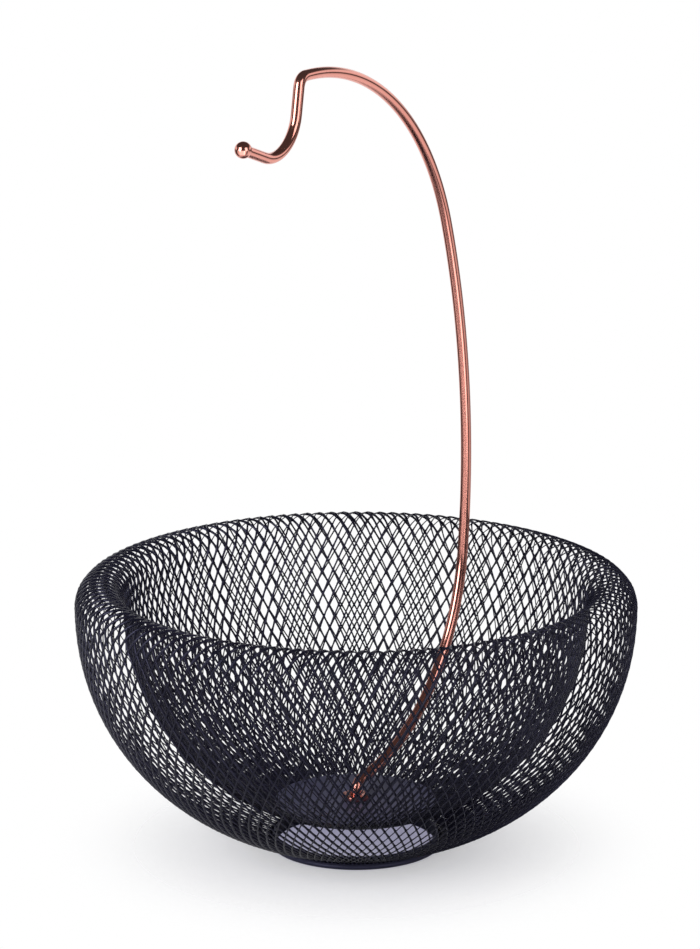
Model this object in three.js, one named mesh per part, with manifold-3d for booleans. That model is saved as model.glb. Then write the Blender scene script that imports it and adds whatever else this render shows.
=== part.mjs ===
// Fruit bowl with a double wall of expanded metal on a ring foot, and a copper-plated banana hook.
// The hook's stud goes through the two plates that hold the wall's inner end, and a thumb nut below holds it.
// Millimetres, +Z up. The origin is on the bowl's axis at the table, and the hook lies in the XZ plane.

import * as THREE from 'three';
import { mergeVertices } from 'three/addons/utils/BufferGeometryUtils.js';
import Module from 'manifold-3d';

const wasm = await Module();
wasm.setup();

// Bowl wall: one sheet that rises from the foot, rolls over at the rim and comes down to the floor
const bowlRadius = 149.5;
const rimHeight = 135;
const rimRollRadius = 12.9;
const sheetThickness = 1;
// The outer wall follows a super-ellipse: a power of 2 is an ellipse, and more is squarer
const outerWallPower = 2.09;
const outerWallBase = 5.2;
const skirtHeight = 1.6;

// Openwork of the wall: strands of the sheet lean both ways and cross, so that every cell is a diamond.
// It is a coarse form of the real mesh, which has 128 cells round, with the same share of open area.
const meshCells = 20;
const outerWallRows = 5;
const rimRows = 1;
const innerWallRows = 4;
const strandWidth = 6;

// Floor: the sheet's inner end lies flat between two plates
const floorHeight = 22.9;
const floorRadius = 45;
const flangeLap = 12;
const floorPlateThickness = 1.2;
const clampPlateThickness = 1.2;
const floorPlateSetback = 1.5;
const clampPlateSetback = 4;
const plateEdgeRound = 0.4;

// Foot ring: a band that the wall's skirt goes round, with a bead below the skirt
const footBandRadius = 44.6;
const footBandThickness = 1.6;
const footHeight = 7;
const footBeadHeight = 3.2;
const footBeadWidth = 1.9;
const footEdgeRound = 0.7;

// Hook: a round rod bent in one plane, with a stud at its lower end and a ball at its tip
const rodDiameter = 5.8;
const hookWallGap = 5.7;
const baseTurnRadius = 7;
const postRadius = 430.9;
const archRadius = 146.9;
const tightBendRadius = 6;
const dropLength = 14.2;
const crookRadius = 22.9;
const tipLength = 21.1;
// Directions of the rod in degrees from +X, rising towards +Z
const heelStartHeading = 5.4;
const postStartHeading = 83.2;
const archStartHeading = 108.6;
const archEndHeading = 180.8;
const dropHeading = 259.7;
const tipHeading = 160.2;
const ballProud = 1.5;
const ballSocketDepth = 4;

// Hook fastening, downwards from the collar on the floor plate
const collarHeight = 2.5;
const collarWidth = 4.4;
const collarEdgeRound = 0.6;
const threadDepth = 0.4;
const flatWasherThickness = 1;
const flatWasherWidth = 3.8;
const springWasherThickness = 1.3;
const springWasherWidth = 2;
const springWasherSplit = 16;
const nutHeight = 5;
const nutBossHeight = 1.4;
const nutBossWidth = 3;
const nutGripWidth = 6.2;
const nutFluteDepth = 0.5;
const nutFlutes = 16;
const studProud = 1.2;

// Clearances
const faceGap = 0.3;
const boreGap = 0.3;

// Fineness of the facets
const turnSegments = 56;
const boltSegments = 28;
const stepsPerWallRow = 2;
const stepsPerRimRow = 8;
const stepsPerHemGap = 2;
const edgeSteps = 2;
const rodSides = 12;
const rodStepAngle = 6;
const rodStepLength = 16;
const ballSteps = 10;
const pointsPerFlute = 6;
const weldDistance = 1e-4;

// Sizes that follow from the ones above
const innerRadius = bowlRadius - 2 * rimRollRadius;
const skirtRadius = footBandRadius + faceGap + sheetThickness / 2;
const rodRadius = rodDiameter / 2;
const studRadius = rodRadius - threadDepth;
const boltHoleRadius = studRadius + boreGap;
const floorPlateRadius = floorRadius - floorPlateSetback;
const clampPlateRadius = floorRadius - clampPlateSetback;
const flangeEndRadius = floorPlateRadius - flangeLap;
const postReach = innerRadius - sheetThickness / 2 - hookWallGap - rodRadius;

// Heights of the stack at the bowl's centre
const floorPlateBottom = floorHeight + sheetThickness / 2 + faceGap;
const floorPlateTop = floorPlateBottom + floorPlateThickness;
const collarBottom = floorPlateTop + faceGap;
const collarTop = collarBottom + collarHeight;
const clampPlateTop = floorHeight - sheetThickness / 2 - faceGap;
const clampPlateBottom = clampPlateTop - clampPlateThickness;
const flatWasherBottom = clampPlateBottom - faceGap - flatWasherThickness;
const springWasherBottom = flatWasherBottom - faceGap - springWasherThickness;
const nutTop = springWasherBottom - faceGap;
const nutBottom = nutTop - nutHeight;
const studBottom = nutBottom - studProud;

const blackSheet = { color: 0x22232c, roughness: 0.42, metalness: 0.55 };
const blackSteel = { color: 0x1c1d25, roughness: 0.45, metalness: 0.5 };
const copperPlate = { color: 0xc98a78, roughness: 0.16, metalness: 1 };
const zincPlate = { color: 0xa9adb2, roughness: 0.38, metalness: 0.9 };

const fruitBowl = new THREE.Group();

function addPiece(name, geometry, finish) {
  const mesh = new THREE.Mesh(geometry, new THREE.MeshStandardMaterial(finish));
  mesh.name = name;
  fruitBowl.add(mesh);
  return mesh;
}

// Turns a closed outline of (radius, height) points, given anticlockwise, about the Z axis
function turned(outline, segments) {
  const closedOutline = [...outline, outline[0]];
  const geometry = new THREE.LatheGeometry(closedOutline, segments);
  geometry.rotateX(Math.PI / 2);
  return geometry;
}

// A ring of rectangular section whose outer edges are rounded
function ringOutline(innerEdge, outerEdge, bottom, top, edgeRound) {
  const path = new THREE.Path();
  const edgeCentre = outerEdge - edgeRound;
  path.moveTo(innerEdge, bottom);
  path.lineTo(edgeCentre, bottom);
  path.absarc(edgeCentre, bottom + edgeRound, edgeRound, -Math.PI / 2, 0);
  path.lineTo(outerEdge, top - edgeRound);
  path.absarc(edgeCentre, top - edgeRound, edgeRound, 0, Math.PI / 2);
  path.lineTo(innerEdge, top);
  return outlinePoints(path);
}

function outlinePoints(path) {
  const points = path.getPoints(edgeSteps);
  const isNew = (point, index) => index === 0 || point.distanceTo(points[index - 1]) > weldDistance;
  const distinct = points.filter(isNew);
  if (distinct.at(-1).distanceTo(distinct[0]) <= weldDistance) {
    distinct.pop();
  }
  return distinct;
}

function toSolid(geometry) {
  const bare = geometry.clone();
  bare.deleteAttribute('normal');
  bare.deleteAttribute('uv');
  const welded = mergeVertices(bare, weldDistance);
  return new wasm.Manifold(new wasm.Mesh({
    numProp: 3,
    vertProperties: welded.attributes.position.array,
    triVerts: Uint32Array.from(welded.index.array),
  }));
}

function joined(...geometries) {
  const solids = geometries.map(toSolid);
  const whole = solids.reduce((sum, solid) => sum.add(solid));
  const { vertProperties, triVerts } = whole.getMesh();
  const geometry = new THREE.BufferGeometry();
  geometry.setAttribute('position', new THREE.BufferAttribute(vertProperties, 3));
  geometry.setIndex(new THREE.BufferAttribute(triVerts, 1));
  geometry.computeVertexNormals();
  return geometry;
}

// The outer wall's line from the skirt up to the rim
class OuterWallLine extends THREE.Curve {
  constructor() {
    super();
    const reach = Math.pow(skirtRadius / bowlRadius, outerWallPower / 2);
    this.baseAngle = Math.acos(reach);
    this.depth = (rimHeight - outerWallBase) / Math.pow(Math.sin(this.baseAngle), 2 / outerWallPower);
  }

  getPoint(share) {
    const angle = this.baseAngle * (1 - share);
    const radius = bowlRadius * Math.pow(Math.cos(angle), 2 / outerWallPower);
    const height = rimHeight - this.depth * Math.pow(Math.sin(angle), 2 / outerWallPower);
    return new THREE.Vector2(radius, height);
  }
}

// The middle line of the sheet between its two hems, in stretches with whole rows of crossings
function sheetStretches() {
  const rollCentre = bowlRadius - rimRollRadius;
  const rimRoll = new THREE.EllipseCurve(rollCentre, rimHeight, rimRollRadius, rimRollRadius, 0, Math.PI);
  const floorAngle = Math.acos(floorRadius / innerRadius);
  const innerDepth = (rimHeight - floorHeight) / Math.sin(floorAngle);
  const innerWall = new THREE.EllipseCurve(0, rimHeight, innerRadius, innerDepth, 0, -floorAngle, true);
  const stretches = [
    { line: new OuterWallLine(), rows: outerWallRows, stepsPerRow: stepsPerWallRow },
    { line: rimRoll, rows: rimRows, stepsPerRow: stepsPerRimRow },
    { line: innerWall, rows: innerWallRows, stepsPerRow: stepsPerWallRow },
  ];
  let firstRow = 0;
  for (const stretch of stretches) {
    stretch.firstRow = firstRow;
    firstRow += stretch.rows;
  }
  return stretches;
}

// A sheet with openings, as points that have a front and a back, and the faces between them
class OpenworkSheet {
  constructor() {
    this.stretches = sheetStretches();
    this.corners = [];
    this.triangles = [];
  }

  stretchAt(row) {
    return this.stretches.findLast((stretch) => stretch.firstRow <= row);
  }

  // Where the middle line is at a row, and the direction from the sheet's back to its front
  placeAt(row) {
    const { line, rows, firstRow } = this.stretchAt(row);
    const share = (row - firstRow) / rows;
    const along = line.getTangentAt(share);
    return { middle: line.getPointAt(share), across: new THREE.Vector2(along.y, -along.x) };
  }

  // Half of a strand's width along a row, in cells
  halfStrandAt(row) {
    const { line, rows } = this.stretchAt(row);
    const rowHeight = line.getLength() / rows;
    const cellWidth = 2 * Math.PI * this.placeAt(row).middle.x / meshCells;
    const slant = Math.hypot(cellWidth / 2, rowHeight) / rowHeight;
    return strandWidth * slant / cellWidth / 2;
  }

  addPoint(cells, row, place = this.placeAt(row)) {
    const angle = 2 * Math.PI * (cells / meshCells);
    const front = this.corners.length / 3;
    for (const side of [1, -1]) {
      const corner = place.middle.clone().addScaledVector(place.across, side * sheetThickness / 2);
      this.corners.push(corner.x * Math.cos(angle), corner.x * Math.sin(angle), corner.y);
    }
    return { cells, row, front, back: front + 1 };
  }

  // Front and back between points that go anticlockwise seen from the front
  addFace(first, ...others) {
    for (let index = 1; index < others.length; index += 1) {
      const before = others[index - 1];
      const after = others[index];
      this.triangles.push(first.front, before.front, after.front);
      this.triangles.push(first.back, after.back, before.back);
    }
  }

  // The cut edge from one point to the next, with the sheet on its left seen from the front
  addEdge(start, end) {
    this.triangles.push(start.front, start.back, end.back);
    this.triangles.push(start.front, end.back, end.front);
  }

  // Points along a strand's edge from one crossing to the next, which may lie across the seam
  strandEdge(start, end, steps) {
    const laps = Math.round((start.cells - end.cells) / meshCells);
    const endCells = end.cells + laps * meshCells;
    const edge = [start];
    for (let step = 1; step < steps; step += 1) {
      const share = step / steps;
      const cells = THREE.MathUtils.lerp(start.cells, endCells, share);
      edge.push(this.addPoint(cells, THREE.MathUtils.lerp(start.row, end.row, share)));
    }
    return [...edge, end];
  }

  addStrand(rightStart, rightEnd, leftStart, leftEnd) {
    const steps = this.stretchAt(Math.floor(rightStart.row)).stepsPerRow;
    const right = this.strandEdge(rightStart, rightEnd, steps);
    const left = this.strandEdge(leftStart, leftEnd, steps);
    for (let step = 0; step < steps; step += 1) {
      this.addFace(right[step], right[step + 1], left[step + 1], left[step]);
      this.addEdge(right[step], right[step + 1]);
      this.addEdge(left[step + 1], left[step]);
    }
  }

  // Plain sheet between a row of crossings and the free end beside it, below the row or above it
  addHem(crossings, corner, end, isBelow) {
    const rowPoints = crossings.flatMap(({ left, right }) => {
      const points = [left, right];
      const gap = 1 - (right.cells - left.cells);
      for (let step = 1; step < stepsPerHemGap; step += 1) {
        points.push(this.addPoint(right.cells + gap * (step / stepsPerHemGap), left.row, corner));
      }
      return points;
    });
    const endPoints = rowPoints.map(({ cells, row }) => this.addPoint(cells, row, end));
    const [low, high] = isBelow ? [endPoints, rowPoints] : [rowPoints, endPoints];
    const pointsPerCell = rowPoints.length / meshCells;
    for (let index = 0; index < rowPoints.length; index += 1) {
      const next = (index + 1) % rowPoints.length;
      const meetsOpening = index % pointsPerCell > 0;
      this.addFace(low[index], low[next], high[next], high[index]);
      if (isBelow || meetsOpening) {
        this.addEdge(low[index], low[next]);
      }
      if (!isBelow || meetsOpening) {
        this.addEdge(high[next], high[index]);
      }
    }
  }

  geometry() {
    const geometry = new THREE.BufferGeometry();
    geometry.setAttribute('position', new THREE.Float32BufferAttribute(this.corners, 3));
    geometry.setIndex(this.triangles);
    geometry.computeVertexNormals();
    return geometry;
  }
}

// The wall with its openings: crossings in rows, strands between them, and a plain hem at each end
function openworkWall() {
  const sheet = new OpenworkSheet();
  const lastRow = outerWallRows + rimRows + innerWallRows;
  const skirtEnd = {
    middle: new THREE.Vector2(skirtRadius, outerWallBase - skirtHeight),
    across: new THREE.Vector2(1, 0),
  };
  const flangeEnd = {
    middle: new THREE.Vector2(flangeEndRadius, floorHeight),
    across: new THREE.Vector2(0, 1),
  };
  const cornerAt = (row, hemEnd) => {
    const { middle, across } = sheet.placeAt(row);
    return { middle, across: across.clone().add(hemEnd.across).normalize() };
  };
  const skirtCorner = cornerAt(0, skirtEnd);
  const flangeCorner = cornerAt(lastRow, flangeEnd);
  const corners = new Map([[0, skirtCorner], [lastRow, flangeCorner]]);

  // Every other row is half a cell further round, and the widest row has a crossing on the X axis
  const isShifted = (row) => (row + outerWallRows) % 2;

  const rows = [];
  for (let row = 0; row <= lastRow; row += 1) {
    const place = corners.get(row) ?? sheet.placeAt(row);
    const half = sheet.halfStrandAt(row);
    const crossings = [];
    for (let cell = 0; cell < meshCells; cell += 1) {
      const cells = cell + isShifted(row) / 2;
      const crossing = {
        left: sheet.addPoint(cells - half, row, place),
        right: sheet.addPoint(cells + half, row, place),
        below: row === 0 ? null : sheet.addPoint(cells, row - 2 * half),
        above: row === lastRow ? null : sheet.addPoint(cells, row + 2 * half),
      };
      const { left, right, below, above } = crossing;
      sheet.addFace(...[below, right, above, left].filter((point) => point !== null));
      crossings.push(crossing);
    }
    rows.push(crossings);
  }

  for (let row = 0; row < lastRow; row += 1) {
    rows[row].forEach((crossing, cell) => {
      const rightCell = (cell + isShifted(row)) % meshCells;
      const leftCell = (rightCell + meshCells - 1) % meshCells;
      const toRight = rows[row + 1][rightCell];
      const toLeft = rows[row + 1][leftCell];
      sheet.addStrand(crossing.right, toRight.below, crossing.above, toRight.left);
      sheet.addStrand(crossing.above, toLeft.right, crossing.left, toLeft.below);
    });
  }

  sheet.addHem(rows[0], skirtCorner, skirtEnd, true);
  sheet.addHem(rows[lastRow], flangeCorner, flangeEnd, false);
  return sheet.geometry();
}

// A wire bent in the XZ plane: each run starts where the one before it ends, in the same direction
class BentWire extends THREE.Curve {
  constructor(start, heading) {
    super();
    this.end = start.clone();
    this.heading = THREE.MathUtils.degToRad(heading);
    this.runs = [];
    this.steps = 0;
  }

  addRun(place, direction, steps) {
    this.runs.push({ place, direction, steps, firstStep: this.steps });
    this.steps += steps;
    this.end = place(1);
    this.heading = direction(1);
  }

  straight(length) {
    const start = this.end.clone();
    const heading = this.heading;
    const along = new THREE.Vector2(Math.cos(heading), Math.sin(heading));
    this.addRun((share) => start.clone().addScaledVector(along, share * length), () => heading, 1);
    return this;
  }

  bend(radius, newHeading) {
    const first = this.heading;
    const turn = THREE.MathUtils.degToRad(newHeading) - first;
    const side = Math.sign(turn);
    const across = (heading) => new THREE.Vector2(-Math.sin(heading), Math.cos(heading));
    const centre = this.end.clone().addScaledVector(across(first), side * radius);
    const direction = (share) => first + turn * share;
    const place = (share) => centre.clone().addScaledVector(across(direction(share)), -side * radius);
    const stepsByAngle = THREE.MathUtils.radToDeg(Math.abs(turn)) / rodStepAngle;
    const stepsByLength = Math.abs(turn) * radius / rodStepLength;
    this.addRun(place, direction, Math.ceil(Math.max(stepsByAngle, stepsByLength)));
    return this;
  }

  at(share) {
    const step = share * this.steps;
    const run = this.runs.findLast((candidate) => candidate.firstStep <= step);
    const runShare = (step - run.firstStep) / run.steps;
    return { place: run.place(runShare), heading: run.direction(runShare) };
  }

  getPoint(share) {
    const { place } = this.at(share);
    return new THREE.Vector3(place.x, 0, place.y);
  }

  getTangent(share) {
    const { heading } = this.at(share);
    return new THREE.Vector3(Math.cos(heading), 0, Math.sin(heading));
  }

  // Points fall by run and not by length, so that a tight bend keeps its own
  getPointAt(share) {
    return this.getPoint(share);
  }

  getTangentAt(share) {
    return this.getTangent(share);
  }
}

// The heel's radius brings the post to its gap from the bowl's inner wall
function hookWire() {
  const sine = (degrees) => Math.sin(THREE.MathUtils.degToRad(degrees));
  const baseReach = baseTurnRadius * (1 - sine(heelStartHeading));
  const postBulge = postRadius * (1 - sine(postStartHeading));
  const heelReach = postReach - baseReach - postBulge;
  const heelRadius = heelReach / (sine(postStartHeading) - sine(heelStartHeading));
  return new BentWire(new THREE.Vector2(0, floorPlateTop), 90)
    .straight(collarTop + faceGap - floorPlateTop)
    .bend(baseTurnRadius, heelStartHeading)
    .bend(heelRadius, postStartHeading)
    .bend(postRadius, archStartHeading)
    .bend(archRadius, archEndHeading)
    .bend(tightBendRadius, dropHeading)
    .straight(dropLength)
    .bend(crookRadius, tipHeading)
    .straight(tipLength);
}

function rodAlong(wire) {
  const section = new THREE.Shape().absarc(0, 0, rodRadius, 0, 2 * Math.PI);
  return new THREE.ExtrudeGeometry(section, {
    steps: wire.steps,
    curveSegments: rodSides / 2,
    extrudePath: wire,
  });
}

// A cylinder standing on the Z axis
function upright(radius, bottom, top) {
  const geometry = new THREE.CylinderGeometry(radius, radius, top - bottom, boltSegments);
  geometry.rotateX(Math.PI / 2);
  geometry.translate(0, 0, (top + bottom) / 2);
  return geometry;
}

// A ball about the origin with a socket along +Y
function socketBall(radius, socketRadius, socketDepth) {
  const mouthAngle = Math.asin(socketRadius / radius);
  const mouthHeight = radius * Math.cos(mouthAngle);
  const outline = [new THREE.Vector2(0, -radius)];
  for (let step = 1; step <= ballSteps; step += 1) {
    const angle = -Math.PI / 2 + (Math.PI - mouthAngle) * (step / ballSteps);
    outline.push(new THREE.Vector2(radius * Math.cos(angle), radius * Math.sin(angle)));
  }
  outline.push(new THREE.Vector2(socketRadius, mouthHeight - socketDepth));
  outline.push(new THREE.Vector2(0, mouthHeight - socketDepth));
  return new THREE.LatheGeometry(outline, boltSegments);
}

// A flat shape standing on the given height
function raised(shape, bottom, height) {
  const geometry = new THREE.ExtrudeGeometry(shape, {
    depth: height,
    curveSegments: boltSegments / 2,
    bevelEnabled: false,
  });
  geometry.translate(0, 0, bottom);
  return geometry;
}

function boltHole() {
  return new THREE.Path().absarc(0, 0, boltHoleRadius, 0, 2 * Math.PI);
}

function fluteShape(meanRadius) {
  const shape = new THREE.Shape();
  const count = nutFlutes * pointsPerFlute;
  for (let index = 0; index < count; index += 1) {
    const angle = 2 * Math.PI * (index / count);
    const radius = meanRadius + nutFluteDepth / 2 * Math.cos(nutFlutes * angle);
    const corner = [radius * Math.cos(angle), radius * Math.sin(angle)];
    if (index === 0) {
      shape.moveTo(...corner);
    } else {
      shape.lineTo(...corner);
    }
  }
  shape.closePath();
  shape.holes.push(boltHole());
  return shape;
}

// Bowl
addPiece('mesh_sleeve', openworkWall(), blackSheet);

const floorPlateOutline = ringOutline(
  boltHoleRadius, floorPlateRadius, floorPlateBottom, floorPlateTop, plateEdgeRound,
);
addPiece('floor_plate', turned(floorPlateOutline, turnSegments), blackSteel);

const clampPlateOutline = ringOutline(
  boltHoleRadius, clampPlateRadius, clampPlateBottom, clampPlateTop, plateEdgeRound,
);
addPiece('clamp_plate', turned(clampPlateOutline, turnSegments), blackSteel);

// Foot ring
const footInnerRadius = footBandRadius - footBandThickness;
const footBeadRound = footBeadHeight / 2;
const footBeadCentre = footBandRadius + footBeadWidth - footBeadRound;
const footTopCentre = footBandRadius - footEdgeRound;
const footOutline = new THREE.Path();
footOutline.moveTo(footInnerRadius, 0);
footOutline.lineTo(footBeadCentre, 0);
footOutline.absarc(footBeadCentre, footBeadRound, footBeadRound, -Math.PI / 2, Math.PI / 2);
footOutline.lineTo(footBandRadius, footBeadHeight);
footOutline.lineTo(footBandRadius, footHeight - footEdgeRound);
footOutline.absarc(footTopCentre, footHeight - footEdgeRound, footEdgeRound, 0, Math.PI / 2);
footOutline.lineTo(footInnerRadius, footHeight);
addPiece('foot_ring', turned(outlinePoints(footOutline), turnSegments), blackSteel);

// Hook
const wire = hookWire();
const stud = upright(studRadius, studBottom, floorPlateTop + collarHeight / 2);
addPiece('hook_rod', joined(rodAlong(wire), stud), copperPlate);

const collarBore = rodRadius + boreGap;
const collarRadius = collarBore + collarWidth;
const collarOutline = ringOutline(collarBore, collarRadius, collarBottom, collarTop, collarEdgeRound);
addPiece('hook_collar', turned(collarOutline, boltSegments), copperPlate);

const ballRadius = rodRadius + ballProud;
const ballSocketRadius = rodRadius + boreGap;
const tipDirection = wire.getTangent(1);
const socketFloor = Math.sqrt(ballRadius ** 2 - ballSocketRadius ** 2) - ballSocketDepth;
const ball = addPiece('hook_ball', socketBall(ballRadius, ballSocketRadius, ballSocketDepth), copperPlate);
ball.position.copy(wire.getPoint(1)).addScaledVector(tipDirection, socketFloor + faceGap);
ball.quaternion.setFromUnitVectors(new THREE.Vector3(0, 1, 0), tipDirection.clone().negate());

// Washers and thumb nut under the clamp plate
const flatWasher = new THREE.Shape().absarc(0, 0, boltHoleRadius + flatWasherWidth, 0, 2 * Math.PI);
flatWasher.holes.push(boltHole());
addPiece('flat_washer', raised(flatWasher, flatWasherBottom, flatWasherThickness), zincPlate);

const halfSplit = THREE.MathUtils.degToRad(springWasherSplit / 2);
const springWasher = new THREE.Shape();
springWasher.absarc(0, 0, boltHoleRadius + springWasherWidth, halfSplit, 2 * Math.PI - halfSplit);
springWasher.absarc(0, 0, boltHoleRadius, 2 * Math.PI - halfSplit, halfSplit, true);
springWasher.closePath();
addPiece('spring_washer', raised(springWasher, springWasherBottom, springWasherThickness), zincPlate);

const nutGripHeight = nutHeight - nutBossHeight;
const nutGrip = raised(fluteShape(boltHoleRadius + nutGripWidth), nutBottom, nutGripHeight);
const nutBoss = new THREE.Shape().absarc(0, 0, boltHoleRadius + nutBossWidth, 0, 2 * Math.PI);
nutBoss.holes.push(boltHole());
addPiece('thumb_nut', joined(nutGrip, raised(nutBoss, nutBottom + nutGripHeight, nutBossHeight)), zincPlate);

export default fruitBowl;
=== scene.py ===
"""Dresses a fruit bowl of black expanded metal with a copper-plated banana hook.

Metres, +Z up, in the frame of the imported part: the bowl's axis is Z and the hook lies in the XZ plane.
"""

import math
from collections import namedtuple

import bpy
import numpy as np
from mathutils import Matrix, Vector


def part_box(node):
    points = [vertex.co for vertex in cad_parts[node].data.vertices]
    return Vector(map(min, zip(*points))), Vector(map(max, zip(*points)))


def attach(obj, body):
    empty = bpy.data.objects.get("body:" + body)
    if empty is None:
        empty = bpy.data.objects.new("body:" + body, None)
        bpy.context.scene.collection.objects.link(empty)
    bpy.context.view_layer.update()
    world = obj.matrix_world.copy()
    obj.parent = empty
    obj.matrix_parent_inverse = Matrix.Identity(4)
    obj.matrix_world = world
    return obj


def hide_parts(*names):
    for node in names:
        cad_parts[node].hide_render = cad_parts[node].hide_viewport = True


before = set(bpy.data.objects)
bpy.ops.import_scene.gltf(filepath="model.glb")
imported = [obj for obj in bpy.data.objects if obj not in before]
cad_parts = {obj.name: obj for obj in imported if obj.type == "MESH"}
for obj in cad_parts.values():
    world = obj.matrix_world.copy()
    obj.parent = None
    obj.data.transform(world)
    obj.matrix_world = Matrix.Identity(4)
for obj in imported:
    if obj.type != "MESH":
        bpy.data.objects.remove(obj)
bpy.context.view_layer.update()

MM = 0.001
TURN = 2 * math.pi

# Bowl wall
floor_plate_low, floor_plate_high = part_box("floor_plate")
clamp_plate_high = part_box("clamp_plate")[1]
BOWL_RADIUS = 149.5 * MM
RIM_ROLL_RADIUS = 12.9 * MM
RIM_HEIGHT = 135.0 * MM
OUTER_WALL_POWER = 2.09
SKIRT_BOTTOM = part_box("mesh_sleeve")[0][2]
SKIRT_HEIGHT = 1.6 * MM
OUTER_WALL_BASE = SKIRT_BOTTOM + SKIRT_HEIGHT
SKIRT_RADIUS = 45.4 * MM
FLOOR_RADIUS = 45.0 * MM
FLOOR_HEIGHT = (floor_plate_low[2] + clamp_plate_high[2]) / 2
FLANGE_END_RADIUS = 31.5 * MM
OUTER_WALL_POINTS = 240
RIM_STEPS = 60
INNER_WALL_POINTS = 200
SHEET_STEP = 0.2 * MM

# Expanded metal: strands lean both ways and cross at every row.
# They are widest at the rim, and RIM_SPREAD rows away from it as wide as in the walls.
CELLS_ROUND = 128
CROSSING_SPACING = 7.1 * MM
SAMPLES_PER_ROW = 3
STRAND_WIDTH = 1.26 * MM
RIM_STRAND_WIDTH = 1.50 * MM
RIM_SPREAD = 5
STRAND_THICKNESS = 0.5 * MM
STRAND_OFFSET = 0.12 * MM
STRAND_TILT = math.radians(44)
RIM_STRAND_TILT = math.radians(48)
HELD_ROWS = 2
KNOT_SWELL = 0.2
FLAT_SHARE = 0.52
STRAND_SECTION = np.array([
    (1, 0),
    (FLAT_SHARE, 1),
    (-FLAT_SHARE, 1),
    (-1, 0),
    (-FLAT_SHARE, -1),
    (FLAT_SHARE, -1),
])

# Hook: the rod's runs in order, with its direction in degrees from +X, rising towards +Z
ROD_RADIUS = 2.9 * MM
ROD_SIDES = 32
ROD_STEP = 2.0 * MM
BEND_STEP = math.radians(4)
ROD_START = floor_plate_high[2]
COLLAR_TOP_GAP = 0.3 * MM
COLLAR_CLEARANCE = 0.1 * MM
COLLAR_EDGE = 0.7 * MM
POST_REACH = 114.6 * MM
BASE_TURN_RADIUS = 7.0 * MM
POST_RADIUS = 430.9 * MM
ARCH_RADIUS = 146.9 * MM
TIGHT_BEND_RADIUS = 6.0 * MM
DROP_LENGTH = 14.2 * MM
CROOK_RADIUS = 22.9 * MM
TIP_LENGTH = 21.1 * MM
HEEL_START = 5.4
POST_START = 83.2
ARCH_START = 108.6
ARCH_END = 180.8
DROP_HEADING = 259.7
TIP_HEADING = 160.2
BALL_RADIUS = 4.4 * MM
BALL_SETBACK = 0.68 * MM
WELD_FILLET = 1.3 * MM

# Hook fastening
STUD_RADIUS = 2.5 * MM
STUD_CHAMFER = 0.5 * MM
THREAD_PITCH = 0.8 * MM
THREAD_DEPTH = 0.42 * MM
RINGS_PER_PITCH = 8
BOLT_HOLE_RADIUS = 2.8 * MM
NUT_GRIP_RADIUS = 9.0 * MM
NUT_BOSS_RADIUS = 5.8 * MM
NUT_BOSS_HEIGHT = 1.4 * MM
NUT_FLUTE_DEPTH = 0.5 * MM
NUT_FLUTES = 16
NUT_FLUTE_MARGIN = 0.1 * MM
NUT_EDGE = 0.6 * MM
NUT_COUNTERSINK = 0.6 * MM
FLAT_WASHER_EDGE = 0.15 * MM
SPRING_WASHER_EDGE = 0.12 * MM
SPRING_SPLIT = math.radians(16)
SPRING_RISE = 0.36 * MM

# Foot ring
FOOT_BAND_RADIUS = 44.6 * MM
FOOT_BAND_THICKNESS = 1.6 * MM
FOOT_BEAD_HEIGHT = 3.2 * MM
FOOT_TOP_ROUND = 0.7 * MM

# Plates
FLOOR_PLATE_EDGE = 0.5 * MM
CLAMP_PLATE_EDGE = 0.4 * MM

# Turned pieces: steps round an edge, a bead, a fillet and a ball, and the angle from which an edge is sharp
EDGE_STEPS = 5
BEAD_STEPS = 15
FILLET_STEPS = 10
BALL_STEPS = 40
TURNED_CREASE = math.radians(40)
ROD_CREASE = math.radians(50)
BALL_CREASE = math.radians(60)
PLATE_SEGMENTS = 144
BOLT_SEGMENTS = 96
NUT_SEGMENTS = 192

# Camera, from the outlines of the rim and the foot in the photograph
IMAGE_HEIGHT = 949
HOOK_TURN = math.radians(58)
CAMERA_DISTANCE = 2.400
CAMERA_HEIGHT = 0.8235
CAMERA_SIDE = 3.2 * MM
CAMERA_PITCH = math.radians(14.44)
FOCAL_PIXELS = 4675.9
SENSOR_HEIGHT = 36.0
CAMERA_REACH = 50

# Horizontal directions in the photograph
AWAY = Vector((math.sin(HOOK_TURN), math.cos(HOOK_TURN), 0))
RIGHT = Vector((math.cos(HOOK_TURN), -math.sin(HOOK_TURN), 0))
UP = Vector((0, 0, 1))


def beside_camera(degrees):
    """Horizontal direction this many degrees to the right of the way from the bowl to the camera."""
    angle = math.radians(degrees)
    return RIGHT * math.sin(angle) - AWAY * math.cos(angle)


def new_object(name, vertices, faces, material, body, crease=None):
    """A mesh piece that rides on a body. Edges sharper than crease stay sharp."""
    mesh = bpy.data.meshes.new(name)
    mesh.from_pydata(vertices, [], faces)
    mesh.polygons.foreach_set("use_smooth", [True] * len(mesh.polygons))
    if crease is not None:
        mesh.set_sharp_from_angle(angle=crease)
    mesh.materials.append(material)
    mesh.update()
    piece = bpy.data.objects.new(name, mesh)
    bpy.context.scene.collection.objects.link(piece)
    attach(piece, body)
    return piece


def stands_for(node):
    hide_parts(node)


def swept_faces(rings, sides, first=0):
    """Quads between rings of points, with a cap at each end."""
    faces = []
    for ring in range(rings - 1):
        base = first + ring * sides
        for side in range(sides):
            following = (side + 1) % sides
            faces.append((base + side, base + following, base + sides + following, base + sides + side))
    last = first + (rings - 1) * sides
    faces.append(tuple(first + side for side in reversed(range(sides))))
    faces.append(tuple(last + side for side in range(sides)))
    return faces


def plain_radius(radius, height, angle):
    return radius


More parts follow.
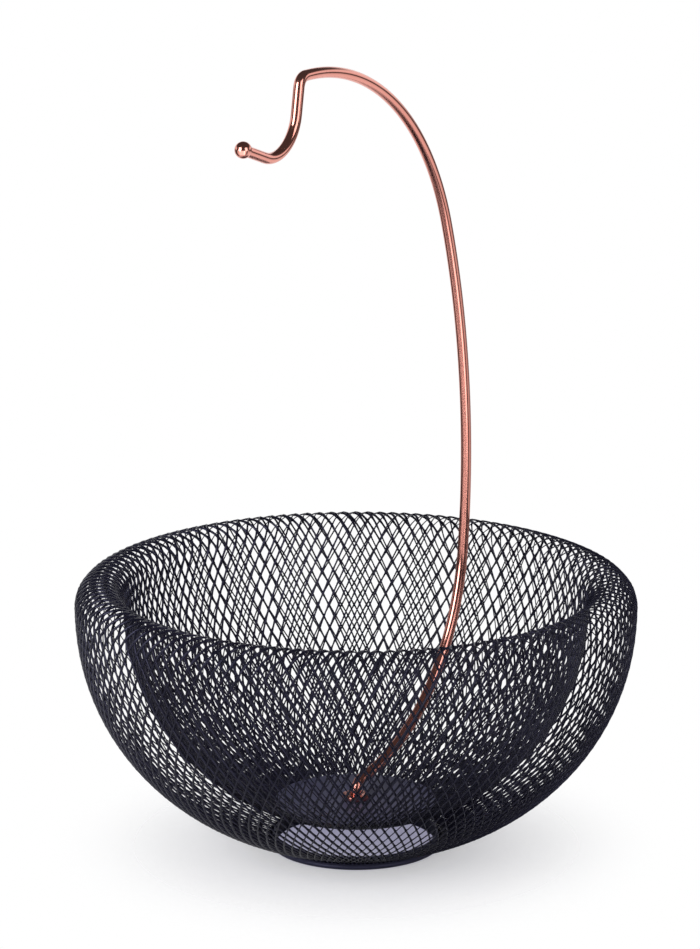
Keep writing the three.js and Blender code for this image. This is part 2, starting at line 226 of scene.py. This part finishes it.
def turned_piece(name, outline, segments, material, body, radius_at=plain_radius, crease=TURNED_CREASE):
    """A closed outline of (radius, height) points, anticlockwise, turned about the Z axis.

    radius_at may change a point's radius by its angle, for flutes.
    """
    vertices = []
    for index in range(segments):
        angle = TURN * index / segments
        for radius, height in outline:
            reach = radius_at(radius, height, angle)
            vertices.append((reach * math.cos(angle), reach * math.sin(angle), height))
    count = len(outline)
    faces = []
    for index in range(segments):
        here = index * count
        there = (index + 1) % segments * count
        for point in range(count):
            following = (point + 1) % count
            faces.append((here + point, there + point, there + following, here + following))
    return new_object(name, vertices, faces, material, body, crease)


def arc(centre, radius, first_degrees, last_degrees, steps):
    """Points on an arc in the (radius, height) plane."""
    angles = np.radians(np.linspace(first_degrees, last_degrees, steps + 1))
    return [(centre[0] + radius * math.cos(a), centre[1] + radius * math.sin(a)) for a in angles]


def ring_outline(inner, outer, bottom, top, edge):
    """Section of a flat ring with all four edges rounded."""
    corners = (
        (outer - edge, bottom + edge, -90),
        (outer - edge, top - edge, 0),
        (inner + edge, top - edge, 90),
        (inner + edge, bottom + edge, 180),
    )
    outline = []
    for radius, height, first in corners:
        outline += arc((radius, height), edge, first, first + 90, EDGE_STEPS)
    return outline


# Materials

# Most of a noise lies between these two values
NOISE_LOW = 0.3
NOISE_HIGH = 0.7
MESH_TONES = (0.0055, 0.0053, 0.0115), (0.0094, 0.0090, 0.0185)
MESH_ROUGHNESS = (0.19, 0.31)
# Same blue-black coating as the mesh, drawn several times lighter: painted light from the lit table on the
# foot band and plates
PLATE_TONES_WITH_PAINTED_LIGHT = (0.043, 0.043, 0.078), (0.061, 0.061, 0.106)
PLATE_ROUGHNESS = (0.33, 0.45)
COATING_GLOSS = 0.4
COATING_GLOSS_TINT = (0.64, 0.63, 1.0, 1)
COPPER_TONES = (0.82, 0.325, 0.262), (0.88, 0.380, 0.312)
COPPER_ROUGHNESS = (0.11, 0.17)
ZINC_TONES = (0.47, 0.49, 0.52), (0.63, 0.64, 0.65)
ZINC_ROUGHNESS = (0.26, 0.42)


def node_material(name):
    """A new material, with its nodes, its links and its shader."""
    material = bpy.data.materials.new(name)
    material.use_nodes = True
    nodes = material.node_tree.nodes
    return material, nodes, material.node_tree.links, nodes["Principled BSDF"]


def noise_in_object_space(nodes, links, scale, detail):
    coordinates = nodes.new("ShaderNodeTexCoord")
    noise = nodes.new("ShaderNodeTexNoise")
    noise.inputs["Scale"].default_value = scale
    noise.inputs["Detail"].default_value = detail
    links.new(coordinates.outputs["Object"], noise.inputs["Vector"])
    return noise.outputs["Fac"]


def spread(nodes, links, source, values, socket):
    """Maps a noise to a range of values and feeds it to a socket."""
    low, high = values
    span = nodes.new("ShaderNodeMapRange")
    span.inputs["From Min"].default_value = NOISE_LOW
    span.inputs["From Max"].default_value = NOISE_HIGH
    span.inputs["To Min"].default_value = low
    span.inputs["To Max"].default_value = high
    links.new(source, span.inputs["Value"])
    links.new(span.outputs["Result"], socket)


def two_tones(nodes, links, source, tones, socket):
    """Goes from the first colour to the second as the source rises, and feeds it to a socket."""
    ramp = nodes.new("ShaderNodeValToRGB")
    for element, position, tone in zip(ramp.color_ramp.elements, (NOISE_LOW, NOISE_HIGH), tones):
        element.position = position
        element.color = (*tone, 1)
    links.new(source, ramp.inputs["Fac"])
    links.new(ramp.outputs["Color"], socket)


def bumped(nodes, links, source, shader, strength, depth):
    bump = nodes.new("ShaderNodeBump")
    bump.inputs["Strength"].default_value = strength
    bump.inputs["Distance"].default_value = depth
    links.new(source, bump.inputs["Height"])
    links.new(bump.outputs["Normal"], shader.inputs["Normal"])


def coated_black(name, tones, roughness):
    """Blue-black baked coating with a fine orange peel."""
    material, nodes, links, shader = node_material(name)
    patches = noise_in_object_space(nodes, links, scale=70, detail=3)
    peel = noise_in_object_space(nodes, links, scale=1400, detail=2)
    two_tones(nodes, links, patches, tones, shader.inputs["Base Color"])
    spread(nodes, links, patches, roughness, shader.inputs["Roughness"])
    bumped(nodes, links, peel, shader, strength=0.25, depth=0.05 * MM)
    shader.inputs["Specular IOR Level"].default_value = COATING_GLOSS
    shader.inputs["Specular Tint"].default_value = COATING_GLOSS_TINT
    return material


def plated_copper(name):
    """Polished rose-copper plating, a little cloudy, with a faint grain."""
    material, nodes, links, shader = node_material(name)
    clouds = noise_in_object_space(nodes, links, scale=45, detail=3)
    grain = noise_in_object_space(nodes, links, scale=900, detail=3)
    two_tones(nodes, links, clouds, COPPER_TONES, shader.inputs["Base Color"])
    spread(nodes, links, clouds, COPPER_ROUGHNESS, shader.inputs["Roughness"])
    bumped(nodes, links, grain, shader, strength=0.06, depth=0.03 * MM)
    shader.inputs["Metallic"].default_value = 1.0
    return material


def plated_zinc(name):
    """Bright zinc with a cloudy sheen."""
    material, nodes, links, shader = node_material(name)
    clouds = noise_in_object_space(nodes, links, scale=260, detail=4)
    grain = noise_in_object_space(nodes, links, scale=2600, detail=2)
    two_tones(nodes, links, clouds, ZINC_TONES, shader.inputs["Base Color"])
    spread(nodes, links, clouds, ZINC_ROUGHNESS, shader.inputs["Roughness"])
    bumped(nodes, links, grain, shader, strength=0.12, depth=0.02 * MM)
    shader.inputs["Metallic"].default_value = 1.0
    return material


black_mesh = coated_black("black_mesh", MESH_TONES, MESH_ROUGHNESS)
# Plates and foot band: black coating lightened by painted light
black_steel = coated_black("black_steel", PLATE_TONES_WITH_PAINTED_LIGHT, PLATE_ROUGHNESS)
copper = plated_copper("copper")
zinc = plated_zinc("zinc")


# Bowl wall

def sheet_line():
    """Middle of the sheet as (radius, height) points, from the skirt over the rim to the floor flange."""
    line = [(SKIRT_RADIUS, SKIRT_BOTTOM)]

    base_angle = math.acos((SKIRT_RADIUS / BOWL_RADIUS) ** (OUTER_WALL_POWER / 2))
    depth = (RIM_HEIGHT - OUTER_WALL_BASE) / math.sin(base_angle) ** (2 / OUTER_WALL_POWER)
    for angle in np.linspace(base_angle, 0, OUTER_WALL_POINTS)[:-1]:
        radius = BOWL_RADIUS * math.cos(angle) ** (2 / OUTER_WALL_POWER)
        line.append((radius, RIM_HEIGHT - depth * math.sin(angle) ** (2 / OUTER_WALL_POWER)))

    line += arc((BOWL_RADIUS - RIM_ROLL_RADIUS, RIM_HEIGHT), RIM_ROLL_RADIUS, 0, 180, RIM_STEPS)

    inner_radius = BOWL_RADIUS - 2 * RIM_ROLL_RADIUS
    floor_angle = math.acos(FLOOR_RADIUS / inner_radius)
    inner_depth = (RIM_HEIGHT - FLOOR_HEIGHT) / math.sin(floor_angle)
    for angle in np.linspace(0, floor_angle, INNER_WALL_POINTS)[1:]:
        line.append((inner_radius * math.cos(angle), RIM_HEIGHT - inner_depth * math.sin(angle)))

    line.append((FLANGE_END_RADIUS, FLOOR_HEIGHT))
    return np.array(line)


def resampled(line, spacing):
    """The same line in even steps, with the distance along it."""
    lengths = np.concatenate([[0], np.cumsum(np.hypot(*np.diff(line, axis=0).T))])
    along = np.linspace(0, lengths[-1], int(lengths[-1] / spacing) + 1)
    return along, np.column_stack([np.interp(along, lengths, line[:, axis]) for axis in (0, 1)])


def strand_rows():
    """Places along the sheet where a strand is sampled: rows counted from the skirt, with (radius, height).

    A strand keeps its length between crossings, so the rows stretch where the bowl narrows.
    """
    along, points = resampled(sheet_line(), SHEET_STEP)
    half_cell = math.pi * points[:, 0] / CELLS_ROUND
    rows_per_metre = 1 / np.sqrt(CROSSING_SPACING ** 2 - half_cell ** 2)
    steps = (rows_per_metre[1:] + rows_per_metre[:-1]) / 2 * np.diff(along)
    rows = np.concatenate([[0], np.cumsum(steps)])
    samples = np.arange(0, rows[-1], 1 / SAMPLES_PER_ROW)
    places = np.column_stack([np.interp(samples, rows, points[:, axis]) for axis in (0, 1)])
    return samples, places


def strand_points(lean):
    """Section points of the strand that starts at angle 0 and leans one way round the bowl (+1 or -1).

    The strand is twisted out of the sheet, but lies flat where the foot and the plates hold its ends.
    """
    rows, places = strand_rows()
    radius, height = places.T
    slope_radius = np.gradient(radius)
    slope_height = np.gradient(height)
    slope = np.hypot(slope_radius, slope_height)
    angle = lean * rows * math.pi / CELLS_ROUND
    zeros = np.zeros_like(angle)
    outward = np.column_stack([np.cos(angle), np.sin(angle), zeros])
    around = np.column_stack([-np.sin(angle), np.cos(angle), zeros])
    upward = np.array([0.0, 0.0, 1.0])
    centres = outward * radius[:, None] + upward * height[:, None]
    along = np.gradient(centres, axis=0)
    along /= np.linalg.norm(along, axis=1)[:, None]
    normal = outward * (slope_height / slope)[:, None] - upward * (slope_radius / slope)[:, None]
    across = np.cross(normal, along)

    crest = rows[np.argmax(height)]
    rim_rows = (crest - RIM_SPREAD, crest, crest + RIM_SPREAD)
    width = np.interp(rows, rim_rows, (STRAND_WIDTH, RIM_STRAND_WIDTH, STRAND_WIDTH))
    at_crossing = np.cos(TURN * rows)
    half_width = width / 2 * (1 + KNOT_SWELL * at_crossing)
    half_thickness = STRAND_THICKNESS / 2

    freedom = np.clip(np.minimum(rows, rows[-1] - rows) / HELD_ROWS, 0, 1)
    free_tilt = np.interp(rows, rim_rows, (STRAND_TILT, RIM_STRAND_TILT, STRAND_TILT))
    tilt = (free_tilt * freedom)[:, None]
    side = across * np.cos(tilt) + normal * np.sin(tilt)
    face = normal * np.cos(tilt) - across * np.sin(tilt)
    middle = centres + normal * (lean * STRAND_OFFSET)
    return (
        middle[:, None, :]
        + side[:, None, :] * (half_width[:, None, None] * STRAND_SECTION[None, :, 0:1])
        + face[:, None, :] * (half_thickness * STRAND_SECTION[None, :, 1:2])
    )


def build_mesh_wall():
    """The expanded metal in four pieces: half of the strands that lean each way in each."""
    sides = len(STRAND_SECTION)
    strands_per_piece = CELLS_ROUND // 2
    for lean, lean_name in ((1, "right"), (-1, "left")):
        base = strand_points(lean)
        rings = len(base)
        flat = base.reshape(-1, 3)
        for half in range(2):
            vertices = []
            faces = []
            for strand in range(strands_per_piece):
                turn = TURN * (half * strands_per_piece + strand) / CELLS_ROUND
                cosine, sine = math.cos(turn), math.sin(turn)
                rotation = np.array([(cosine, sine, 0), (-sine, cosine, 0), (0, 0, 1)])
                faces += swept_faces(rings, sides, len(vertices))
                vertices += (flat @ rotation).tolist()
            piece = new_object(f"mesh_{lean_name}_{half + 1}", vertices, faces, black_mesh, "basket")
            stands_for("mesh_sleeve")


build_mesh_wall()


# Plates and foot

def build_plates():
    for node, edge in (("floor_plate", FLOOR_PLATE_EDGE), ("clamp_plate", CLAMP_PLATE_EDGE)):
        low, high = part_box(node)
        outline = ring_outline(BOLT_HOLE_RADIUS, high[0], low[2], high[2], edge)
        plate = turned_piece(node + "_disc", outline, PLATE_SEGMENTS, black_steel, "basket")
        stands_for(node)


def build_foot_ring():
    """A band with a round bead at the table and a rounded upper edge."""
    low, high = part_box("foot_ring")
    inner = FOOT_BAND_RADIUS - FOOT_BAND_THICKNESS
    bead = FOOT_BEAD_HEIGHT / 2
    bead_centre = (high[0] - bead, low[2] + bead)
    top_round = FOOT_TOP_ROUND
    outline = [(inner, low[2])]
    outline += arc(bead_centre, bead, -90, 90, BEAD_STEPS)
    outline.append((FOOT_BAND_RADIUS, low[2] + FOOT_BEAD_HEIGHT))
    outline += arc((FOOT_BAND_RADIUS - top_round, high[2] - top_round), top_round, 0, 90, EDGE_STEPS)
    outline += arc((inner + top_round, high[2] - top_round), top_round, 90, 180, EDGE_STEPS)
    ring = turned_piece("foot_band", outline, PLATE_SEGMENTS, black_steel, "basket")
    stands_for("foot_ring")


build_plates()
build_foot_ring()


# Hook

def run_straight(path, length):
    place, heading = path[-1]
    along = np.array((math.cos(heading), math.sin(heading)))
    steps = math.ceil(length / ROD_STEP)
    for step in range(1, steps + 1):
        path.append((place + along * (length * step / steps), heading))


def run_bend(path, radius, degrees):
    """Turns to a new direction about a centre beside the rod."""
    place, heading = path[-1]
    turn = math.radians(degrees) - heading
    side = math.copysign(1, turn)
    centre = place + side * radius * np.array((-math.sin(heading), math.cos(heading)))
    steps = math.ceil(max(abs(turn) / BEND_STEP, abs(turn) * radius / ROD_STEP))
    for step in range(1, steps + 1):
        direction = heading + turn * step / steps
        place = centre - side * radius * np.array((-math.sin(direction), math.cos(direction)))
        path.append((place, direction))


def hook_path():
    """Places (x, z) and directions along the middle of the rod, from the collar to the tip.

    The heel's radius brings the post to its reach beside the bowl's inner wall.
    """
    post_sine = math.sin(math.radians(POST_START))
    heel_sine = math.sin(math.radians(HEEL_START))
    heel_reach = POST_REACH - BASE_TURN_RADIUS * (1 - heel_sine) - POST_RADIUS * (1 - post_sine)
    heel_radius = heel_reach / (post_sine - heel_sine)
    collar_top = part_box("hook_collar")[1][2]

    path = [(np.array((0.0, ROD_START)), math.pi / 2)]
    run_straight(path, collar_top + COLLAR_TOP_GAP - ROD_START)
    run_bend(path, BASE_TURN_RADIUS, HEEL_START)
    run_bend(path, heel_radius, POST_START)
    run_bend(path, POST_RADIUS, ARCH_START)
    run_bend(path, ARCH_RADIUS, ARCH_END)
    run_bend(path, TIGHT_BEND_RADIUS, DROP_HEADING)
    run_straight(path, DROP_LENGTH)
    run_bend(path, CROOK_RADIUS, TIP_HEADING)
    run_straight(path, TIP_LENGTH)
    return path


def build_rod(path):
    vertices = []
    for place, heading in path:
        for side in range(ROD_SIDES):
            angle = TURN * side / ROD_SIDES
            outward = ROD_RADIUS * math.cos(angle)
            x = place[0] - math.sin(heading) * outward
            z = place[1] + math.cos(heading) * outward
            vertices.append((x, -ROD_RADIUS * math.sin(angle), z))
    faces = swept_faces(len(path), ROD_SIDES)
    rod = new_object("hook_wire", vertices, faces, copper, "hook", ROD_CREASE)
    stands_for("hook_rod")


def build_ball(path):
    """A ball pressed and welded on the rod's tip, with a small fillet round the rod."""
    fillet_centre = -math.sqrt((BALL_RADIUS + WELD_FILLET) ** 2 - (ROD_RADIUS + WELD_FILLET) ** 2)
    meeting = math.degrees(math.atan2(fillet_centre, ROD_RADIUS + WELD_FILLET))
    outline = arc((ROD_RADIUS + WELD_FILLET, fillet_centre), WELD_FILLET, 180, 180 + meeting, FILLET_STEPS)
    outline += arc((0, 0), BALL_RADIUS, meeting, 90, BALL_STEPS)[1:-1]
    count = len(outline)

    place, heading = path[-1]
    along = Vector((math.cos(heading), 0, math.sin(heading)))
    across = Vector((-math.sin(heading), 0, math.cos(heading)))
    sideways = along.cross(across)
    middle = Vector((place[0], 0, place[1])) - along * BALL_SETBACK
    vertices = []
    for index in range(ROD_SIDES):
        angle = TURN * index / ROD_SIDES
        outward = across * math.cos(angle) + sideways * math.sin(angle)
        vertices += [tuple(middle + outward * radius + along * height) for radius, height in outline]
    faces = []
    for index in range(ROD_SIDES):
        here = index * count
        there = (index + 1) % ROD_SIDES * count
        for point in range(count - 1):
            faces.append((here + point, there + point, there + point + 1, here + point + 1))
    faces.append(tuple(index * count + count - 1 for index in range(ROD_SIDES)))
    faces.append(tuple(index * count for index in reversed(range(ROD_SIDES))))
    ball = new_object("hook_end_ball", vertices, faces, copper, "hook", BALL_CREASE)
    stands_for("hook_ball")


def build_collar():
    low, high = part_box("hook_collar")
    outline = ring_outline(ROD_RADIUS + COLLAR_CLEARANCE, high[0], low[2], high[2], COLLAR_EDGE)
    collar = turned_piece("hook_shoulder", outline, BOLT_SEGMENTS, copper, "hook")
    stands_for("hook_collar")


def build_stud():
    """The rod's threaded lower end, as one screw surface with a chamfered point."""
    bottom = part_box("hook_rod")[0][2]
    step = THREAD_PITCH / RINGS_PER_PITCH
    rings = math.ceil((ROD_START - bottom) / step) + 1
    vertices = []
    for ring in range(rings):
        height = bottom + ring * step
        chamfer = max(0, STUD_CHAMFER - ring * step)
        for side in range(ROD_SIDES):
            share = (ring / RINGS_PER_PITCH - side / ROD_SIDES) % 1
            radius = STUD_RADIUS - THREAD_DEPTH * abs(2 * share - 1) - chamfer
            angle = TURN * side / ROD_SIDES
            vertices.append((radius * math.cos(angle), radius * math.sin(angle), height))
    faces = swept_faces(rings, ROD_SIDES)
    stud = new_object("hook_stud", vertices, faces, copper, "hook", ROD_CREASE)
    stands_for("hook_rod")


rod_path = hook_path()
build_rod(rod_path)
build_ball(rod_path)
build_collar()
build_stud()


# Washers and thumb nut

def build_flat_washer():
    low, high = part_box("flat_washer")
    outline = ring_outline(BOLT_HOLE_RADIUS, high[0], low[2], high[2], FLAT_WASHER_EDGE)
    washer = turned_piece("plain_washer", outline, BOLT_SEGMENTS, zinc, "washers")
    stands_for("flat_washer")


def build_spring_washer():
    """A split ring whose ends stand a little apart in height."""
    low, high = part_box("spring_washer")
    squeeze = SPRING_RISE / 2
    bottom = low[2] + squeeze
    top = high[2] - squeeze
    section = ring_outline(BOLT_HOLE_RADIUS, high[0], bottom, top, SPRING_WASHER_EDGE)
    rings = BOLT_SEGMENTS + 1
    vertices = []
    for ring in range(rings):
        share = ring / (rings - 1)
        angle = SPRING_SPLIT / 2 + (TURN - SPRING_SPLIT) * share
        rise = SPRING_RISE * (share - 0.5)
        vertices += [(r * math.cos(angle), r * math.sin(angle), z + rise) for r, z in reversed(section)]
    faces = swept_faces(rings, len(section))
    washer = new_object("split_washer", vertices, faces, zinc, "washers", TURNED_CREASE)
    stands_for("spring_washer")


def build_thumb_nut():
    """A fluted disc with a boss towards the washers and a countersunk thread mouth."""
    low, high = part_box("thumb_nut")
    shoulder = high[2] - NUT_BOSS_HEIGHT
    edge = NUT_EDGE
    outline = [(BOLT_HOLE_RADIUS, low[2] + NUT_COUNTERSINK), (BOLT_HOLE_RADIUS + NUT_COUNTERSINK, low[2])]
    outline += arc((NUT_GRIP_RADIUS - edge, low[2] + edge), edge, -90, 0, EDGE_STEPS)
    outline += arc((NUT_GRIP_RADIUS - edge, shoulder - edge), edge, 0, 90, EDGE_STEPS)
    outline.append((NUT_BOSS_RADIUS, shoulder))
    outline += arc((NUT_BOSS_RADIUS - edge / 2, high[2] - edge / 2), edge / 2, 0, 90, EDGE_STEPS)
    outline.append((BOLT_HOLE_RADIUS, high[2]))

    def fluted(radius, height, angle):
        if radius < NUT_GRIP_RADIUS - edge - NUT_FLUTE_MARGIN:
            return radius
        return radius + NUT_FLUTE_DEPTH / 2 * math.cos(NUT_FLUTES * angle)

    nut = turned_piece("fluted_nut", outline, NUT_SEGMENTS, zinc, "nut", fluted)
    stands_for("thumb_nut")


build_flat_washer()
build_spring_washer()
build_thumb_nut()


# Stage: a white table before a white backdrop, in a dim room, with a soft lamp at each side of the camera

WHITE = 1.0
ROOM_LIGHT = 0.065
TABLE_NEAR_LIGHT = 0.95
TABLE_FAR_LIGHT = 0.70
TABLE_NEAR = -32
TABLE_FAR = -12
EDGE_SOFTNESS = 4
# What polished metal sees, in degrees: bearing right of the camera, half width, lowest and highest edge
Card = namedtuple("Card", "bearing half_width lowest highest light")
BACKDROP = Card(bearing=180, half_width=85, lowest=0, highest=19, light=WHITE)
LIT_TABLE = Card(bearing=-12, half_width=44, lowest=-90, highest=-2, light=1.6)
BRIGHT_STREAK = Card(bearing=17, half_width=6, lowest=-90, highest=-2, light=3.1)
LEFT_GAP = Card(bearing=-106, half_width=22, lowest=-90, highest=0, light=ROOM_LIGHT)
RIGHT_GAP = Card(bearing=57, half_width=11, lowest=-90, highest=0, light=ROOM_LIGHT)
FAR_GAP = Card(bearing=119, half_width=30, lowest=-14, highest=-2, light=ROOM_LIGHT)
STUDIO_CARDS = (BACKDROP, LIT_TABLE, BRIGHT_STREAK, LEFT_GAP, RIGHT_GAP, FAR_GAP)
SIDE_LAMP_BEARING = 43
SIDE_LAMP_DISTANCE = 1.7
SIDE_LAMP_HEIGHT = 0.85
SIDE_LAMP_SIZE = (1.0, 1.3)
LEFT_LAMP_POWER = 20.0
RIGHT_LAMP_POWER = 8.5
TOP_LAMP_HEIGHT = 2.2
TOP_LAMP_SIZE = (2.0, 2.0)
TOP_LAMP_POWER = 34.0
LAMP_TARGET = Vector((0, 0, 0.2))
FLOOR_HALF_SIZE = 8.0
FLOOR_COLOUR = (0.60, 0.60, 0.62, 1)
FLOOR_ROUGHNESS = 0.8
# Light of its own that the floor shows the camera: dimmer and bluer inside the ring foot as painted shade,
# then brighter outside it
FLOOR_GLOWS_WITH_PAINTED_FOOT_SHADE = (0.24, 0.235, 0.33), (0.42, 0.42, 0.43)
FOOT_EDGE = 0.045
FOOT_EDGE_SOFTNESS = 0.008
FLOOR_FADE_NEAR = 0.046
FLOOR_FADE_FAR = 0.17
FLOOR_MIRRORED_NEAR = 0.25
FLOOR_MIRRORED_FAR = 0.40


def smooth_step(nodes, links, source, low, high, from_value=0.0, to_value=1.0):
    """Goes smoothly from one value to another as the source goes from low to high."""
    span = nodes.new("ShaderNodeMapRange")
    span.interpolation_type = "SMOOTHSTEP"
    span.inputs["From Min"].default_value = low
    span.inputs["From Max"].default_value = high
    span.inputs["To Min"].default_value = from_value
    span.inputs["To Max"].default_value = to_value
    links.new(source, span.inputs["Value"])
    return span.outputs["Result"]


def math_node(nodes, links, operation, first, second):
    node = nodes.new("ShaderNodeMath")
    node.operation = operation
    links.new(first, node.inputs[0])
    if isinstance(second, (int, float)):
        node.inputs[1].default_value = second
    else:
        links.new(second, node.inputs[1])
    return node.outputs["Value"]


def dot_with(nodes, links, source, direction):
    node = nodes.new("ShaderNodeVectorMath")
    node.operation = "DOT_PRODUCT"
    node.inputs[1].default_value = direction
    links.new(source, node.inputs[0])
    return node.outputs["Value"]


def mixed(nodes, links, share, first, second):
    """First where the share is 0, second where it is 1."""
    node = nodes.new("ShaderNodeMix")
    links.new(share, node.inputs["Factor"])
    for socket, value in ((node.inputs["A"], first), (node.inputs["B"], second)):
        if isinstance(value, (int, float)):
            socket.default_value = value
        else:
            links.new(value, socket)
    return node.outputs["Result"]


def within(nodes, links, value, low, high):
    """1 between two angles in degrees, and 0 a little way outside them."""
    soft = math.radians(EDGE_SOFTNESS)
    low, high = math.radians(low), math.radians(high)
    above = smooth_step(nodes, links, value, low - soft, low + soft)
    below = smooth_step(nodes, links, value, high - soft, high + soft, 1, 0)
    return math_node(nodes, links, "MULTIPLY", above, below)


def build_world():
    """White to the camera, and to everything else the studio round the table."""
    world = bpy.data.worlds.new("studio")
    world.use_nodes = True
    nodes = world.node_tree.nodes
    links = world.node_tree.links
    direction = nodes.new("ShaderNodeTexCoord").outputs["Generated"]
    elevation = math_node(nodes, links, "ARCSINE", dot_with(nodes, links, direction, UP), 0)

    level = nodes.new("ShaderNodeVectorMath")
    level.operation = "MULTIPLY"
    level.inputs[1].default_value = (1, 1, 0)
    links.new(direction, level.inputs[0])
    bearing = nodes.new("ShaderNodeVectorMath")
    bearing.operation = "NORMALIZE"
    links.new(level.outputs["Vector"], bearing.inputs[0])

    near, far = math.radians(TABLE_NEAR), math.radians(TABLE_FAR)
    table = smooth_step(nodes, links, elevation, near, far, TABLE_NEAR_LIGHT, TABLE_FAR_LIGHT)
    over_table = smooth_step(nodes, links, elevation, math.radians(-EDGE_SOFTNESS), 0)
    studio = mixed(nodes, links, over_table, table, ROOM_LIGHT)
    for card in STUDIO_CARDS:
        aligned = dot_with(nodes, links, bearing.outputs["Vector"], beside_camera(card.bearing))
        aside = math_node(nodes, links, "ARCCOSINE", aligned, 0)
        across = within(nodes, links, aside, -card.half_width, card.half_width)
        upright = within(nodes, links, elevation, card.lowest, card.highest)
        covered = math_node(nodes, links, "MULTIPLY", across, upright)
        studio = mixed(nodes, links, covered, studio, card.light)

    to_camera = nodes.new("ShaderNodeLightPath").outputs["Is Camera Ray"]
    background = nodes["Background"]
    background.inputs["Color"].default_value = (1, 1, 1, 1)
    links.new(mixed(nodes, links, to_camera, studio, WHITE), background.inputs["Strength"])
    world.cycles.sampling_method = "NONE"
    bpy.context.scene.world = world


def soft_lamp(name, location, size, power):
    data = bpy.data.lights.new(name, "AREA")
    data.shape = "RECTANGLE"
    data.size, data.size_y = size
    data.energy = power
    lamp = bpy.data.objects.new(name, data)
    lamp.location = location
    lamp.rotation_euler = (LAMP_TARGET - lamp.location).to_track_quat("-Z", "Y").to_euler()
    lamp.visible_camera = False
    bpy.context.scene.collection.objects.link(lamp)
    return lamp


def build_lamps():
    """Two soft lamps that metal mirrors, and one overhead that it doesn't."""
    for side, power in ((-1, LEFT_LAMP_POWER), (1, RIGHT_LAMP_POWER)):
        place = beside_camera(side * SIDE_LAMP_BEARING) * SIDE_LAMP_DISTANCE + UP * SIDE_LAMP_HEIGHT
        soft_lamp("side_lamp", place, SIDE_LAMP_SIZE, power)
    top_lamp = soft_lamp("top_lamp", UP * TOP_LAMP_HEIGHT, TOP_LAMP_SIZE, TOP_LAMP_POWER)
    top_lamp.visible_glossy = False


def build_floor():
    """A white table that keeps the bowl's shadow, seen from above only. Inside the ring foot it shows the
    camera a dimmer, bluer glow: painted shade.

    Further out the camera sees the white backdrop in its place, and metal the studio's table.
    """
    half = FLOOR_HALF_SIZE
    mesh = bpy.data.meshes.new("table")
    corners = [(-half, -half, 0), (half, -half, 0), (half, half, 0), (-half, half, 0)]
    mesh.from_pydata(corners, [], [(0, 1, 2, 3)])
    floor = bpy.data.objects.new("table", mesh)
    bpy.context.scene.collection.objects.link(floor)

    material, nodes, links, shader = node_material("table")
    shader.inputs["Base Color"].default_value = FLOOR_COLOUR
    shader.inputs["Roughness"].default_value = FLOOR_ROUGHNESS
    shader.inputs["Specular IOR Level"].default_value = 0.0
    place = nodes.new("ShaderNodeTexCoord").outputs["Object"]
    distance = nodes.new("ShaderNodeVectorMath")
    distance.operation = "LENGTH"
    links.new(place, distance.inputs[0])
    ray = nodes.new("ShaderNodeLightPath").outputs
    edge_start = FOOT_EDGE - FOOT_EDGE_SOFTNESS
    edge_end = FOOT_EDGE + FOOT_EDGE_SOFTNESS
    # Painted shade: the floor's glow is dimmer and bluer inside the ring foot than outside it
    outside = smooth_step(nodes, links, distance.outputs["Value"], edge_start, edge_end)
    two_tones(nodes, links, outside, FLOOR_GLOWS_WITH_PAINTED_FOOT_SHADE, shader.inputs["Emission Color"])
    links.new(ray["Is Camera Ray"], shader.inputs["Emission Strength"])

    clear = nodes.new("ShaderNodeBsdfTransparent")
    from_below = nodes.new("ShaderNodeNewGeometry").outputs["Backfacing"]
    see_through = from_below
    for kind, near, far in (
        ("Is Camera Ray", FLOOR_FADE_NEAR, FLOOR_FADE_FAR),
        ("Is Glossy Ray", FLOOR_MIRRORED_NEAR, FLOOR_MIRRORED_FAR),
    ):
        further_out = smooth_step(nodes, links, distance.outputs["Value"], near, far)
        faded = math_node(nodes, links, "MULTIPLY", further_out, ray[kind])
        see_through = math_node(nodes, links, "MAXIMUM", see_through, faded)
    choice = nodes.new("ShaderNodeMixShader")
    links.new(see_through, choice.inputs["Fac"])
    links.new(shader.outputs["BSDF"], choice.inputs[1])
    links.new(clear.outputs["BSDF"], choice.inputs[2])
    links.new(choice.outputs["Shader"], nodes["Material Output"].inputs["Surface"])
    mesh.materials.append(material)


def build_camera():
    data = bpy.data.cameras.new("camera")
    data.sensor_fit = "VERTICAL"
    data.sensor_height = SENSOR_HEIGHT
    data.lens = FOCAL_PIXELS * SENSOR_HEIGHT / IMAGE_HEIGHT
    data.clip_end = CAMERA_REACH
    camera = bpy.data.objects.new("camera", data)
    camera.location = UP * CAMERA_HEIGHT - AWAY * CAMERA_DISTANCE - RIGHT * CAMERA_SIDE
    camera.rotation_euler = (math.pi / 2 - CAMERA_PITCH, 0, -HOOK_TURN)
    bpy.context.scene.collection.objects.link(camera)
    bpy.context.scene.camera = camera


build_world()
build_lamps()
build_floor()
build_camera()

bpy.context.scene.view_settings.view_transform = "Standard"
